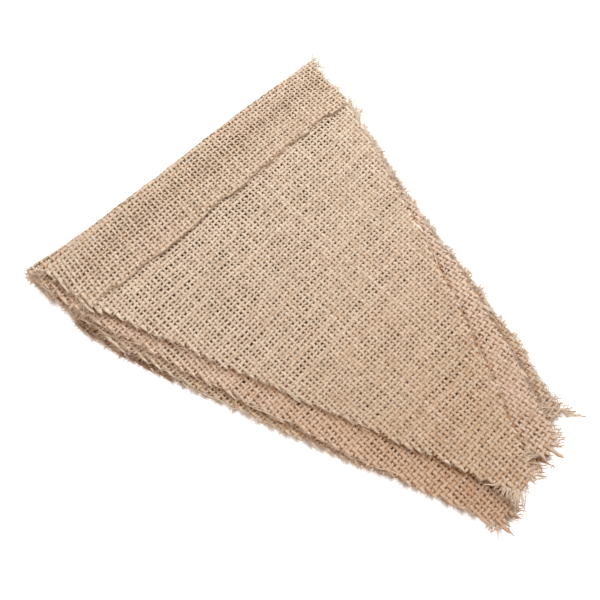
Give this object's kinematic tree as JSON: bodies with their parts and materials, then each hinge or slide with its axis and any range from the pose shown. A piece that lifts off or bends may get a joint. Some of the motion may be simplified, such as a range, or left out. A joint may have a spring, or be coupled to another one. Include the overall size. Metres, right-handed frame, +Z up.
{
  "type": "fabric bunting",
  "caption": "Burlap pennants of a bunting, raw edged and tapered to frayed points, each with a stitched casing across its head, laid down as a fanned stack.",
  "frame": {"origin": "under the middle of the stack's bounding box, on the surface that it lies on", "axes": "+Z up, +Y from the points towards the folded heads, +X along the top pennant's fold, to its right as seen from above with the points towards the viewer"},
  "size_m": [0.2078, 0.2632, 0.0161],
  "materials": {
    "burlap_pale": "coarse open plain weave of undyed jute, matte",
    "burlap_honey": "coarse open plain weave of undyed jute, slightly yellower, matte"
  },
  "bodies": {
    "root": {"pennant_1": "burlap_pale", "pennant_2": "burlap_honey", "pennant_3": "burlap_pale", "pennant_4": "burlap_honey", "pennant_5": "burlap_pale", "pennant_6": "burlap_honey"}
  },
  "joints": []
}
